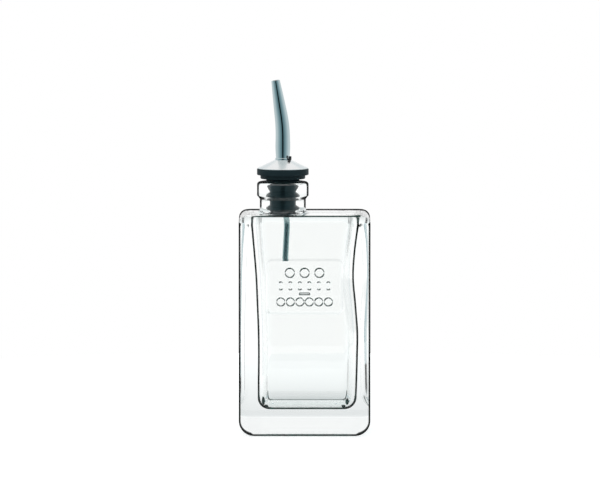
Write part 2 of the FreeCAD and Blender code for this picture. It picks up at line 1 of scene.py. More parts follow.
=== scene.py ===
# %% [markdown]
# # A glass vinegar bottle with a steel pourer
# The bottle is a thick block of clear glass, about 75 by 59 by 126 mm without its neck. A black rubber
# stopper with thin fins sits in the neck and carries a polished cone, a bent steel spout and a vent tube.
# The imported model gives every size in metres. The looks could be drawn from scratch, but starting from the
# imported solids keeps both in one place, so the lesson loads them first and keeps the box that they fill.

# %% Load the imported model
import math

import bpy
import numpy as np
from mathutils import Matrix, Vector


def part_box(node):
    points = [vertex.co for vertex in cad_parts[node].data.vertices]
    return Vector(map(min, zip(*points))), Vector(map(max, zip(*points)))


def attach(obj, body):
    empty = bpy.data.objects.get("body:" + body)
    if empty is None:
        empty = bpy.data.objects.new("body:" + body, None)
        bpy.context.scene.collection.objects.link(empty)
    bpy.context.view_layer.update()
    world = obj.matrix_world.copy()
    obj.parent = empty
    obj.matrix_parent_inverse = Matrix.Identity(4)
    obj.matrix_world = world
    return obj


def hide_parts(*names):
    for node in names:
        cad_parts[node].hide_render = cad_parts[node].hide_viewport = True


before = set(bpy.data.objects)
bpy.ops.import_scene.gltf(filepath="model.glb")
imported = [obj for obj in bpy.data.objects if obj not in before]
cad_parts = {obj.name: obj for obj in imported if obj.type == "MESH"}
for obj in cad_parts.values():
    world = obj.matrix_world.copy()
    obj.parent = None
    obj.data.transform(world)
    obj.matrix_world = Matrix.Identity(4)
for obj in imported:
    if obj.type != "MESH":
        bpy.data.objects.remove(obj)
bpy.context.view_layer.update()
MM = 0.001
low, high = (np.array(corner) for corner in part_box("glass_bottle"))
BODY = (high - low)[:2] / 2
print("nodes:", sorted(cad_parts))
print("bottle, mm:", np.round((high - low) / MM, 1))

# %% [markdown]
# ## Camera
# The bottle is seen almost from straight ahead, a little from above. A near camera would make its upright
# walls lean towards each other, so the camera stands several metres away and has a long lens.

# %% Camera
CENTRE = np.array([-0.0026, 0.0, 0.1103])
ELEVATION = math.radians(5.2)
DISTANCE = 6.0
FRAME_WIDTH = 0.3426
SENSOR_WIDTH = 36.0

camera_data = bpy.data.cameras.new("camera")
camera_data.sensor_width = SENSOR_WIDTH
camera_data.lens = SENSOR_WIDTH * DISTANCE / FRAME_WIDTH
camera_data.clip_end = 50.0
camera = bpy.data.objects.new("camera", camera_data)
bpy.context.scene.collection.objects.link(camera)
camera.location = CENTRE + DISTANCE * np.array([0.0, -math.cos(ELEVATION), math.sin(ELEVATION)])
camera.rotation_euler = (math.pi / 2 - ELEVATION, 0.0, 0.0)
bpy.context.scene.camera = camera
bpy.context.scene.view_settings.view_transform = "Standard"
print("lens, mm:", round(camera_data.lens))

# %% [markdown]
# ## Loops
# Nearly every piece here is a stack of closed level loops: circles on the turned parts, rounded rectangles
# on the body, and something between the two on the shoulder. Cubes with a Bevel would do for wood or metal,
# but clear glass shows every uneven face, so each loop is worked out from a formula. Whole arrays of points
# keep this quick.

# %% Loops
def loop_radius(angle, half_x, half_y, corner):
    """Distance from the middle of a rounded rectangle to its edge, at each angle.

    A ray at the angle meets the upright side at half_x / cos, the cross side at half_y / sin, or the
    corner's arc, where r = p + sqrt(p*p - c*c + corner*corner), with c the arc's centre and p its length
    along the ray."""
    c = np.abs(np.cos(angle))
    s = np.abs(np.sin(angle))
    flat_x = half_x - corner
    flat_y = half_y - corner
    to_side = half_x / np.maximum(c, 1e-9)
    to_cross = half_y / np.maximum(s, 1e-9)
    along = c * flat_x + s * flat_y
    inside = np.maximum(along ** 2 - flat_x ** 2 - flat_y ** 2 + corner ** 2, 0.0)
    to_arc = along + np.sqrt(inside)
    radius = np.where(to_side * s <= flat_y, to_side, to_arc)
    return np.where(to_cross * c <= flat_x, to_cross, radius)


def loops(angle, table):
    """Points of a stack of level loops: each loop's middle, plus its radius times the cosine and sine of
    the angle.

    A row of the table is middle x, middle y, half x, half y, corner, z, and the radius of the upright
    rounding that the row lies on, which only the glass uses."""
    x, y, half_x, half_y, corner, z = table.T[:6, :, None]
    radius = loop_radius(angle[None, :], half_x, half_y, corner)
    return np.stack([x + radius * np.cos(angle), y + radius * np.sin(angle), z + 0 * radius], axis=-1)


def circle_rows(middle_x, radius, z, upright=0.0):
    """Rows of the loop table for circles: the halves and the corner are all the radius."""
    radius, z = np.broadcast_arrays(np.atleast_1d(radius), np.atleast_1d(z))
    zero = 0 * z
    return np.stack([middle_x + zero, zero, radius, radius, radius, z, upright + zero], axis=-1)


TURN = np.linspace(0, 2 * math.pi, 97)[:-1]
print("points round a turned piece:", len(TURN))

# %% [markdown]
# ## Skins
# A stack of loops becomes a mesh when each square of four neighbouring points is made one face. The same
# loops can run up the outside, over the rim and down the inside, so that a hollow piece is one closed skin
# with real walls. A Solidify modifier would make walls too, but of one thickness only, and this glass
# swells and thins.

# %% Skins
def skin(name, grid, start="open", end="open", ring=False):
    """Mesh through a grid of points, rows of closed loops. An end can be closed by a pole in its middle,
    and a ring joins the last loop to the first. Each square of four neighbours is one face, turned to point
    outwards."""
    rows, columns = grid.shape[:2]
    here = np.arange(rows * columns).reshape(rows, columns)
    right = np.roll(here, -1, axis=1)
    upper = np.roll(here, -1, axis=0)
    upper_right = np.roll(right, -1, axis=0)
    last = rows if ring else rows - 1
    faces = np.stack([here, right, upper_right, upper], axis=-1)[:last].reshape(-1, 4).tolist()
    points = grid.reshape(-1, 3)
    if start == "pole":
        points = np.vstack([points, grid[0].mean(axis=0)])
        pole = len(points) - 1
        faces += np.stack([0 * here[0] + pole, right[0], here[0]], axis=-1).tolist()
    if end == "pole":
        points = np.vstack([points, grid[-1].mean(axis=0)])
        pole = len(points) - 1
        faces += np.stack([here[-1], right[-1], 0 * here[0] + pole], axis=-1).tolist()
    mesh = bpy.data.meshes.new(name)
    mesh.from_pydata(points.tolist(), [], faces)
    mesh.shade_smooth()
    piece = bpy.data.objects.new(name, mesh)
    bpy.context.scene.collection.objects.link(piece)
    print("%s: %d points, %d faces" % (name, len(points), len(faces)))
    return piece


# %% [markdown]
# ## Profiles
# A profile says how wide the loops are at each height. Three helpers draw the parts of one: an arc for a
# true rounding, a soft curve in each corner of a straight profile, as moulded and pressed edges have, and a
# smooth line through a few measured sizes.

# %% Profiles
def arc(centre, radius, start, stop, count):
    """Points (across, up) round an arc, angles in degrees from the across direction."""
    turn = np.radians(np.linspace(start, stop, count))
    return np.stack([centre[0] + radius * np.cos(turn), centre[1] + radius * np.sin(turn)], axis=-1)


def rounded(points, radius, count=4):
    """Profile with each inner corner replaced by a short curve: a quadratic from one side of it to the
    other."""
    points = np.asarray(points, float)
    here = points[1:-1]
    back = points[:-2] - here
    forth = points[2:] - here
    back_length = np.linalg.norm(back, axis=1)[:, None]
    forth_length = np.linalg.norm(forth, axis=1)[:, None]
    start = here + back / back_length * np.minimum(radius, 0.45 * back_length)
    stop = here + forth / forth_length * np.minimum(radius, 0.45 * forth_length)
    t = np.linspace(0, 1, count)[None, :, None]
    curve = (1 - t) ** 2 * start[:, None] + 2 * t * (1 - t) * here[:, None] + t ** 2 * stop[:, None]
    return np.vstack([points[:1], curve.reshape(-1, 2), points[-1:]])


def follow(table, place):
    """Sizes at each place along a table, whose rows are a place and its sizes: a cubic between each two
    rows, whose slope at a row is that of the line between its neighbours."""
    at = table[:, 0]
    size = table[:, 1:]
    slope = np.gradient(size, at, axis=0)
    k = np.clip(np.searchsorted(at, place) - 1, 0, len(at) - 2)
    span = (at[k + 1] - at[k])[:, None]
    t = np.clip((place - at[k])[:, None] / span, 0, 1)
    return ((2 * t ** 3 - 3 * t ** 2 + 1) * size[k] + (t ** 3 - 2 * t ** 2 + t) * span * slope[k]
            + (3 * t ** 2 - 2 * t ** 3) * size[k + 1] + (t ** 3 - t ** 2) * span * slope[k + 1])


def blend(t):
    """S-shaped step from 0 to 1: three t squared less two t cubed."""
    return t * t * (3 - 2 * t)


print("corners of a rounded square:", len(rounded([[0, 0], [1, 0], [1, 1], [0, 1]], 0.2)), "points")

# %% [markdown]
# ## Sizes of the glass
# Pressed glass has flat outer faces with small even roundings, but inside, where the hot glass was blown
# out, the walls swell and thin. The outer skin is a rounded rectangle carried up to the shoulder, where it
# gives way to the neck's circle. The inner skin is carried down from the bore, with its left and right
# walls read from a short table. The sizes repeat the imported model's, apart from a tighter corner and a
# slight tilt of the cavity's ceiling, which only the looks need.

# %% Sizes of the glass, in metres
# each CURVE is no size of the glass: it sets how wide the painted dark line on a small edge is
BODY_TOP = 126 * MM
PLAN_CORNER = 6.5 * MM
HEEL = 9.0 * MM
SHOULDER = 4.6 * MM
NECK_X = -12.4 * MM
NECK_R = 13.1 * MM
NECK_ROOT = 2.4 * MM
RING_R = 14.7 * MM
RING_CURVE = 9.0 * MM
RIM = 143.8 * MM
RIM_ROUND = 1.6 * MM
RIM_CURVE = 12.0 * MM
BORE_R = 9.8 * MM
MOUTH_ROUND = 0.6 * MM
MOUTH_CURVE = 8.0 * MM
PUNT_R = 18.0 * MM
PUNT = 0.8 * MM
FLOOR = 15.3 * MM
CEILING = 122.1 * MM
CEILING_TILT = 0.08
HALF_DEPTH = 22.0 * MM
CAVITY_CORNER = 8.0 * MM
FLOOR_ROUND = 6.4 * MM
CEILING_ROUND = 2.2 * MM
BORE_FOOT_ROUND = 0.9 * MM
WALLS = np.array([
    # height, left wall's inner face, right wall's inner face
    [15.3, -26.6, 29.3],
    [28.0, -26.7, 29.9],
    [45.0, -26.55, 30.35],
    [59.3, -26.7, 30.5],
    [75.0, -27.3, 29.4],
    [91.1, -28.0, 28.1],
    [106.0, -29.2, 29.0],
    [122.1, -30.7, 31.3],
]) * MM

print("cavity, left and right at mid height, mm:", np.round(follow(WALLS, np.array([0.07])) / MM, 2))

# %% [markdown]
# ## Relief of the front
# The front face carries a shallow sunk field with raised marks: discs, a row of bars, a dash and a row of
# dots. They are as low as a coin's relief. A Displace modifier with a drawn picture could raise them, but a
# formula for the distance to a rounded box gives cleaner edges, and the marks become part of the glass's
# own skin.

# %% Relief of the front field
FIELD_HALF_X = 21.4 * MM
FIELD_HALF_Z = 15.3 * MM
FIELD_CORNER = 3.0 * MM
FIELD_Z = 86.3 * MM
FIELD_DEPTH = 0.4 * MM
MARK_RISE = 0.35 * MM
EDGE_WIDTH = 1.0 * MM
MARKS = (
    # half across, half up, corner, height and pitch in mm, count
    (2.6, 2.6, 2.6, 94.2, 8.4, 3),
    (0.9, 2.3, 0.9, 86.8, 5.4, 6),
    (3.0, 0.45, 0.45, 82.2, 0.0, 1),
    (2.3, 2.3, 2.3, 77.6, 5.4, 6),
)


def box_distance(x, z, half_x, half_z, corner):
    """Distance to a rounded box in its plane, negative inside."""
    qx = np.abs(x) - half_x + corner
    qz = np.abs(z) - half_z + corner
    outside = np.hypot(np.maximum(qx, 0), np.maximum(qz, 0))
    return outside + np.minimum(np.maximum(qx, qz), 0) - corner


def soft_step(distance):
    """1 inside, 0 outside, with an S-shaped slope of one edge width."""
    return blend(np.clip(0.5 - distance / EDGE_WIDTH, 0, 1))


def nearest_in_row(x, pitch, count):
    """Middle of the mark nearest to each x, in a row of marks that stand evenly about x = 0."""
    if count == 1:
        return 0 * x
    half = (count - 1) / 2
    return (np.clip(np.round(x / pitch + half), 0, count - 1) - half) * pitch


def relief(x, z):
    """How far the front face is pushed in at each point: the field's depth, less the marks that stand in
    it."""
    field = box_distance(x, z - FIELD_Z, FIELD_HALF_X, FIELD_HALF_Z, FIELD_CORNER)
    depth = FIELD_DEPTH * soft_step(field)
    for half_x, half_z, corner, height, pitch, count in MARKS:
        aside = x - nearest_in_row(x, pitch * MM, count)
        mark = box_distance(aside, z - height * MM, half_x * MM, half_z * MM, corner * MM)
        depth = depth - MARK_RISE * soft_step(mark)
    return depth


print("relief in a mark and beside it, mm:", np.round(relief(np.array([0, 4 * MM]), 94.2 * MM) / MM, 2))

# %% [markdown]
# ## Columns round the bottle
# Every loop of the glass uses the same angles, so that its points line up from loop to loop. The relief
# needs a fine grid, but only on the front, and the corners need more points than the flats. So the angles
# are even steps across the field, and elsewhere even steps along the outline, with the corner arcs counted
# longer than they are.

# %% Columns round the bottle
FIELD_COLUMNS = 122
FIELD_REACH = 22.2 * MM
OTHER_COLUMNS = 214
ARC_COUNTS = 2.6
FINE_STEPS = 6000


def bottle_angles():
    """Angles whose rays meet the front face at even steps over the field, and elsewhere follow the
    outline."""
    across = np.linspace(-FIELD_REACH, FIELD_REACH, FIELD_COLUMNS)
    front = np.arctan2(-BODY[1] + 0 * across, across) % (2 * math.pi)
    turn = np.linspace(front[-1], front[0] + 2 * math.pi, FINE_STEPS)
    radius = loop_radius(turn, BODY[0], BODY[1], PLAN_CORNER)
    x = radius * np.cos(turn)
    y = radius * np.sin(turn)
    on_arc = (np.abs(x) > BODY[0] - PLAN_CORNER) & (np.abs(y) > BODY[1] - PLAN_CORNER)
    step = np.hypot(np.diff(x), np.diff(y)) * np.where(on_arc[1:], ARC_COUNTS, 1.0)
    length = np.concatenate([[0], np.cumsum(step)])
    rest = np.interp(np.linspace(0, length[-1], OTHER_COLUMNS), length, turn)
    return np.sort(np.concatenate([front[1:-1], rest]) % (2 * math.pi))


ANGLES = bottle_angles()
print("columns round the bottle:", len(ANGLES))

# %% [markdown]
# ## Outside of the glass
# The outer loops start in the shallow hollow of the base, go round the heel, up the walls and over the
# shoulder, cross the top to the neck's circle, and climb over the ring and the rim into the mouth. Each row
# also keeps the radius of its upright rounding, from which a later cell works out how dark a line is painted
# on that edge.

# %% Base, walls and shoulder
FLAT = -1.0   # mark of a level row, which has no edge
# a BAND row gets a painted dark line when it is seen from low down
BAND = -2.0   # mark of the strip beside a rounding, which shows as a line when it is seen from low down
TIGHTENING = 0.9
FIELD_ROWS = 92


def between(first, last, count, mark):
    """Rows that change evenly from one row to another, without the two ends."""
    share = np.linspace(0, 1, count + 2)[1:-1, None]
    rows = first * (1 - share) + last * share
    rows[:, 6] = mark
    return rows


def body_rows(z, inset=0.0, upright=0.0):
    """Rounded rectangles of the body, drawn in by the inset, with a corner that tightens with it."""
    z = np.atleast_1d(z)
    inset = np.zeros_like(z) + inset
    corner = PLAN_CORNER * (1 - TIGHTENING * inset / HEEL)
    return np.stack([0 * z, 0 * z, BODY[0] - inset, BODY[1] - inset, corner, z, upright + 0 * z], axis=-1)


def base_rows():
    """The hollow of the base, its lip, the flat that the bottle stands on, and the heel."""
    hollow = circle_rows(0.0, np.array([0.4, 0.7, 0.97]) * PUNT_R, PUNT, FLAT)
    lip = circle_rows(0.0, np.array([1.0, 1.02, 1.06]) * PUNT_R, np.array([PUNT, 0.0, 0.0]), FLAT)
    heel = arc((-HEEL, HEEL), HEEL, -90, 0, 13)
    heel = body_rows(heel[:, 1], -heel[:, 0], HEEL)
    return [hollow, lip, between(lip[-1], heel[0], 3, FLAT), heel]


def wall_rows():
    """The upright wall: coarse below and above the field, fine across it."""
    field_low = FIELD_Z - FIELD_HALF_Z
    field_high = FIELD_Z + FIELD_HALF_Z
    return body_rows(np.concatenate([
        np.linspace(HEEL + 1 * MM, field_low - 1.2 * MM, 12),
        np.linspace(field_low - 0.8 * MM, field_high + 0.8 * MM, FIELD_ROWS),
        np.linspace(field_high + 1.2 * MM, BODY_TOP - SHOULDER - 1 * MM, 6)]))


def shoulder_rows():
    """The shoulder's rounding, and three rows of the level top, the first two of them the band beside
    it."""
    shoulder = arc((-SHOULDER, BODY_TOP - SHOULDER), SHOULDER, 0, 90, 11)
    shoulder = body_rows(shoulder[:, 1], -shoulder[:, 0], SHOULDER)
    top = shoulder[-1] - np.outer(np.array([1.5, 9.6, 10.0]) * MM, [0, 0, 1, 1, 1, 0, 0])
    top[:, 6] = BAND, BAND, FLAT
    return shoulder, top


print("loops of the walls:", len(wall_rows()))

# %% [markdown]
# ## Neck
# The neck is round, so its loops are circles whose radius and height come from short lists and arcs. A
# Screw modifier would turn the same profile, but the neck has to be one skin with the shoulder, or a seam
# would show through the glass.

# %% Neck, and all loops of the outside
def neck_rows():
    """The root's hollow curve, the neck, the ring with its slanted foot, the rim and the rounding of the
    mouth."""
    root = arc((NECK_R + NECK_ROOT, BODY_TOP + NECK_ROOT), NECK_ROOT, -90, -180, 8)
    root = circle_rows(NECK_X, root[:, 0], root[:, 1])
    root[:3, 6] = FLAT
    neck = circle_rows(NECK_X, NECK_R, np.array([129.5, 132.0, 133.7]) * MM)
    ring_radius = np.array([13.15, 13.35, 14.2, 14.62, 14.7, 14.7, 14.7, 14.7]) * MM
    ring_height = np.array([134.0, 134.3, 135.4, 135.8, 136.2, 138.0, 140.0, 141.8]) * MM
    ring = circle_rows(NECK_X, ring_radius, ring_height)
    ring[1:4, 6] = RING_CURVE
    rim = arc((RING_R - RIM_ROUND, RIM - RIM_ROUND), RIM_ROUND, 0, 90, 9)
    rim = circle_rows(NECK_X, rim[:, 0], rim[:, 1], RIM_CURVE)
    mouth = arc((BORE_R + MOUTH_ROUND, RIM - MOUTH_ROUND), MOUTH_ROUND, 90, 180, 6)
    mouth = circle_rows(NECK_X, mouth[:, 0], mouth[:, 1], MOUTH_CURVE)
    return [root, neck, ring, rim, mouth]


def outer_rows():
    """All rows of the outside, from the middle of the base to the mouth."""
    shoulder, top = shoulder_rows()
    neck = neck_rows()
    across = between(top[-1], neck[0][0], 6, FLAT)
    return np.vstack([*base_rows(), wall_rows(), shoulder, top, across, *neck])


OUTER = outer_rows()
print("loops outside:", len(OUTER), "from", OUTER[0, 5], "to", OUTER[-1, 5])

# %% [markdown]
# ## Inside of the glass
# The inner loops go down the bore, out across the ceiling of the cavity, down its wavy walls and over a
# wide rounding to the floor. The ceiling falls a little to the back: seen from just above, a level ceiling
# would show as a broad blurred strip, while a tilted one lies in the line of sight and shows as the one
# line that it should.

# %% Inside of the glass
WALL_TOP = 118.5 * MM
WALL_PITCH = 2.2 * MM


def cavity_rows(z, inset=0.0, upright=0.0):
    """Rounded rectangles between the cavity's left and right walls, drawn in by the inset."""
    z = np.atleast_1d(z)
    inset = np.zeros_like(z) + inset
    left, right = follow(WALLS, z).T
    corner = np.maximum(CAVITY_CORNER - inset, 0.6 * MM)
    half_x = (right - left) / 2 - inset
    half_y = HALF_DEPTH - inset
    return np.stack([(left + right) / 2, 0 * z, half_x, half_y, corner, z, upright + 0 * z], axis=-1)


def ceiling_rows():
    """The bore, the rounding at its foot, the ceiling and the ceiling's rounding into the walls."""
    bore = circle_rows(NECK_X, BORE_R, np.array([141.0, 138, 134, 130, 126, 124]) * MM, FLAT)
    foot = arc((BORE_R + BORE_FOOT_ROUND, CEILING + BORE_FOOT_ROUND), BORE_FOOT_ROUND, 180, 270, 6)
    foot = circle_rows(NECK_X, foot[:, 0], foot[:, 1], FLAT)
    top = arc((-CEILING_ROUND, CEILING - CEILING_ROUND), CEILING_ROUND, 90, 0, 8)
    top = cavity_rows(top[:, 1], -top[:, 0], CEILING_ROUND)
    margin = top[0] - np.outer(np.array([7.4, 7.0]) * MM, [0, 0, 1, 1, 0.3, 0, 0])
    margin[:, 6] = FLAT, BAND
    return [bore, foot, between(foot[-1], margin[0], 5, FLAT), margin, top]


def cavity_wall_rows():
    """The walls, a loop every WALL_PITCH, the floor's rounding and the floor."""
    wall = cavity_rows(np.arange(WALL_TOP, FLOOR + FLOOR_ROUND + 0.4 * MM, -WALL_PITCH))
    foot = arc((-FLOOR_ROUND, FLOOR + FLOOR_ROUND), FLOOR_ROUND, 0, -90, 13)
    foot = cavity_rows(foot[:, 1], -foot[:, 0], FLOOR_ROUND)
    floor = foot[-1] - np.outer([0.02, 0.35, 0.6, 0.8], foot[-1] * [0, 0, 1, 1, 1, 0, 0])
    floor[:, 6] = FLAT
    return [wall, foot, floor]


INNER = np.vstack([*ceiling_rows(), *cavity_wall_rows()])
print("loops inside:", len(INNER), "from", INNER[0, 5], "to", INNER[-1, 5])

# %% [markdown]
# ## Where dark lines are painted on the glass
# Rounded edges are where clear glass shows dark lines: light reaches the eye there from far to the side,
# where a studio has black boards. Boards alone would do it, but on edges this small their images come out
# ragged. So the dark lines are painted on instead: the skin keeps, at each point, how far from edge-on it
# may be seen and still be painted dark, which depends on the rounding's radius. There are three values: x
# for the outer face, y for the inner face towards the front and for outer edges that are met from inside,
# and z for the inner face towards the back.

# %% Where dark lines are painted on the glass
LINE = 1.0 * MM
MOST = 0.6


def painted_line_value(radius):
    """Cosine of the angle at which a rounding of this radius gets a painted dark line of one width: with the
    line's share of the radius q, it is the square root of 1 - (1 - q)^2. Flats, given as radius 0, get 0."""
    share = np.clip(LINE / np.maximum(radius, LINE), 0, 1)
    return np.where(radius > 0, np.minimum(np.sqrt(1 - (1 - share) ** 2), MOST), 0.0)


def painted_arc_lines(grid, table):
    """Painted-line value of the upright corners: that of the loop's corner arc, where the point lies on one.
    """
    x, y, half_x, half_y, corner = table.T[:5, :, None]
    upright = table.T[6, :, None]
    beyond_x = np.abs(grid[..., 0] - x) > half_x - corner
    beyond_y = np.abs(grid[..., 1] - y) > half_y - corner
    return np.where(beyond_x & beyond_y & (upright >= 0), painted_line_value(corner), 0.0)


print("edge value of the heel and the shoulder:", np.round(painted_line_value(np.array([HEEL, SHOULDER])), 3))

# %% [markdown]
# ## Painted dark lines on the outer face
# Three kinds of painted dark line lie on the outer face: the roundings of the body and the neck, a short
# stretch that stands for the cavity's ceiling, and painted shade on the edges of the raised marks. Lines
# could be modelled as grooves, but a groove would catch light of its own, so all three are painted: only
# values on the points.

# %% Painted dark lines on the outer face
# values and places of the painted dark lines on the outer face
TOP_BAND = 0.16
OUTLINE_DEPTH = 14.5 * MM
BACK_FADE = 4 * MM
PAINTED_CEILING_ON_TOP = 0.15
PAINTED_CEILING_ON_ROUNDING = 0.44
CEILING_MIDDLE = 1 * MM
CEILING_HALF = 31 * MM
CEILING_FRONT = -16 * MM
NEAR_TOP = 0.94
ROOT_HEIGHT = 2.5 * MM
ROOT_START = -1 * MM
ROOT_FADE = 3 * MM
# box, darkness and slope steps of the painted shade on the marks' edges
MARKS_HALF_X = 17 * MM
MARKS_HALF_Z = 13 * MM
MARKS_CORNER = 1 * MM
MARK_PAINTED_SHADE = 1.1
SIDE_SHARE = 0.14
SLOPE_STEP = 0.1 * MM
FULL_CHANGE = 0.0233333 * MM   # change of the relief over two slope steps that makes an edge fully dark


def painted_outer_lines(grid, table):
    """Values of the painted dark lines of the outer face. On the shoulder the painted line keeps to the back
    edge, which is the outline, and a short painted stretch at the front stands for the cavity's ceiling,
    which the rounding would hide."""
    z, upright = table.T[5:, :, None]
    across = grid[..., 0]
    deep = grid[..., 1]
    of_row = np.where(upright == BAND, TOP_BAND, painted_line_value(np.maximum(upright, 0)))
    of_arc = painted_arc_lines(grid, table)
    lean = np.clip((z - BODY_TOP + SHOULDER) / SHOULDER, 0.1, 1)
    back = np.clip((deep - BODY[1] + OUTLINE_DEPTH / lean) / BACK_FADE + 0.5, 0, 1)
    near_middle = np.abs(across - CEILING_MIDDLE) < CEILING_HALF
    on_painted_ceiling = (lean > NEAR_TOP) & (deep < CEILING_FRONT) & near_middle
    on_shoulder = (upright == SHOULDER) | (upright == BAND)
    ceiling = np.where(upright == BAND, PAINTED_CEILING_ON_TOP, PAINTED_CEILING_ON_ROUNDING)
    of_shoulder = np.maximum(of_row * back, np.where(on_painted_ceiling, ceiling, 0.0))
    on_root = (z > BODY_TOP) & (z < BODY_TOP + ROOT_HEIGHT)
    of_arc = np.where(on_root, of_arc * np.clip((deep - ROOT_START) / ROOT_FADE, 0, 1), of_arc)
    return np.where(on_shoulder, of_shoulder, np.maximum(of_row, of_arc))


def painted_mark_shade(x, z):
    """How dark the painted shade on each mark's edge is, from 0 to the darkest value: the change of the
    relief over a short step. A change along z counts in full and one along x counts little, because the
    light comes from above and below."""
    change_x = np.abs(relief(x + SLOPE_STEP, z) - relief(x - SLOPE_STEP, z))
    change_z = np.abs(relief(x, z + SLOPE_STEP) - relief(x, z - SLOPE_STEP))
    dark = MARK_PAINTED_SHADE * np.clip((change_z + SIDE_SHARE * change_x) / FULL_CHANGE, 0, 1)
    among_marks = box_distance(x, z - FIELD_Z, MARKS_HALF_X, MARKS_HALF_Z, MARKS_CORNER) < 0
    return dark * among_marks


print("edge value across a mark:", np.round(painted_mark_shade(np.linspace(0, 3, 4) * MM, 94.2 * MM), 2))

# %% [markdown]
# ## Painted lines of the cavity
# Through the wall, the cavity's own outline is painted on its inner face: dark lines where its roundings
# turn away, with a painted darker spot in each front corner of the floor, where three roundings meet. The
# sides of the floor get only a faint painted line, as the light comes in through them.

# %% Painted lines of the cavity
# values of the painted dark lines and spots of the cavity
CEILING_BAND = 0.14
SIDE_END = 0.3
SPOT_FRONT = -12 * MM
PAINTED_SPOT_DARK = 1.1
SPOT_FIRM = 1.7
PAINTED_CORNER_SPOTS = (
    # painted dark spots where the cavity's floor meets the front corners: across, height, half sizes, in mm
    (-23.4, 20.6, 0.9, 2.2),
    (-21.6, 17.4, 0.9, 0.8),
    (24.2, 20.2, 1.2, 2.0),
    (22.2, 17.5, 1.1, 0.9),
)


def painted_cavity_lines(grid, table):
    """Values of the painted dark lines of the cavity, towards the front and towards the back, with the
    painted dark spots in the front corners."""
    half_y, corner, z, upright = table.T[3:, :, None]
    deep = grid[..., 1]
    front = deep < 0
    of_row = painted_line_value(np.maximum(upright, 0)) + 0 * deep
    side_end = (np.abs(deep) < half_y - corner) & (upright == FLOOR_ROUND)
    of_row = np.where(side_end, SIDE_END * of_row, of_row)
    of_arc = painted_arc_lines(grid, table)
    value = np.maximum(of_row, of_arc)
    near = np.where(front | (upright == 0), value, 0.0)
    near = np.where(upright == BAND, CEILING_BAND, near)
    near = np.where(upright == CEILING_ROUND, np.maximum(of_arc, CEILING_BAND), near)
    for spot_x, spot_z, wide, tall in PAINTED_CORNER_SPOTS:
        aside = (grid[..., 0] - spot_x * MM) / (wide * MM)
        above = (z - spot_z * MM) / (tall * MM)
        spot = PAINTED_SPOT_DARK * np.clip(SPOT_FIRM * np.exp(-aside ** 2 - above ** 2), 0, 1)
        near = np.maximum(near, np.where(deep < SPOT_FRONT, spot, 0.0))
    return near, np.where(~front & (upright > 0), value, 0.0)


print("dark spots in the floor's corners:", len(PAINTED_CORNER_SPOTS))

# %% [markdown]
# ## The bottle's skin
# Now the loops become points, the relief is pushed into the front face, and the ceiling is tilted. The
# values of the painted dark lines go along as a point attribute, because a material can read that, and it
# stays on the surface from every side.

# %% The bottle's skin
# value of the faint painted line on the back of the heel and of the ring, met from inside the glass
BACK_OF_HEEL_PAINTED_LINE = 0.13
TILT_LOW = 110 * MM
TILT_RISE = 11 * MM
TILT_HIGH = 128 * MM
TILT_FALL = 4.5 * MM


def outer_skin():
    """Points and painted-line values of the outside: y grows by the relief wherever a point lies on the
    front face."""
    grid = loops(ANGLES, OUTER)
    edge = np.zeros(grid.shape)
    edge[..., 0] = painted_outer_lines(grid, OUTER)
    back = grid[..., 1] >= 0
    curved = np.isin(OUTER[:, 6], (HEEL, RING_CURVE))[:, None]
    edge[..., 1] = np.where(curved & back, BACK_OF_HEEL_PAINTED_LINE, 0.0)
    on_face = np.abs(grid[..., 1] + BODY[1]) < 0.01 * MM
    x = grid[..., 0]
    z = grid[..., 2]
    edge[..., 0] = np.maximum(edge[..., 0], np.where(on_face, painted_mark_shade(x, z), 0.0))
    grid[..., 1] += np.where(on_face, relief(x, z), 0.0)
    return grid, edge


def inner_skin():
    """Points and painted-line values of the inside: z falls by the tilt times y near the ceiling, fading out
    below it."""
    grid = loops(ANGLES, INNER)
    edge = np.zeros(grid.shape)
    edge[..., 1], edge[..., 2] = painted_cavity_lines(grid, INNER)
    z = grid[..., 2]
    rise = np.clip((z - TILT_LOW) / TILT_RISE, 0, 1) * np.clip((TILT_HIGH - z) / TILT_FALL, 0, 1)
    grid[..., 2] = z - CEILING_TILT * grid[..., 1] * blend(rise)
    return grid, edge


outer_points, outer_values = outer_skin()
inner_points, inner_values = inner_skin()
bottle = skin("bottle_glass", np.vstack([outer_points, inner_points]), start="pole", end="pole")
no_edge = np.zeros(2 * 3)   # for the two poles, three values each
painted_line_values = np.append(np.vstack([outer_values, inner_values]).ravel(), no_edge)
# the attribute edge carries the values of the painted dark lines
edges = bottle.data.attributes.new("edge", "FLOAT_VECTOR", "POINT")
edges.data.foreach_set("vector", painted_line_values.astype(np.float32))
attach(bottle, "root")
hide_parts("glass_bottle")

# %% [markdown]
# ## Stopper
# The stopper is moulded in one piece of rubber: a flange on the rim, a step, and a stem with thin fins that
# seal in the bore. It is hollow, with a flow channel up the stem. Turned pieces could be made with the
# Screw modifier, but the channel lies off the middle, so the skin goes down the outside, into the channel,
# and up through the chamber.

# %% Stopper
CORE_R = 7.4
FIN_R = 9.65
FIN_TOPS = (136.6, 129.2, 121.8)
STEM_FOOT = 120.4
CHANNEL_X = -15.2 * MM
CHAMBER_FLOOR = 140.4
SHIFT_START = 139.0 * MM
SHIFT_HEIGHT = 1.4 * MM


def fin(top):
    """One fin in profile: a short slope out to its edge, the edge, and a longer slope back to the core."""
    return [[CORE_R, top + 1.3], [FIN_R, top], [FIN_R, top - 0.6], [CORE_R, top - 2.8]]


def stopper_outside():
    """Profile in mm from the socket over the flange, the step and the fins to the foot of the stem."""
    flange = [[4.0, 151.2], [14.75, 151.2], [14.75, 147.8], [12.8, 147.8], [12.8, 145.6], [CORE_R, 145.6]]
    wide_fin = [[FIN_R, 144.7], [FIN_R, 142.3], [CORE_R, 138.3]]
    fins = [point for top in FIN_TOPS for point in fin(top)][:-1]
    foot = [[CORE_R, STEM_FOOT + 0.6], [CORE_R - 1.0, STEM_FOOT], [3.2, STEM_FOOT]]
    return rounded(flange + wide_fin + fins + foot, 0.35) * MM


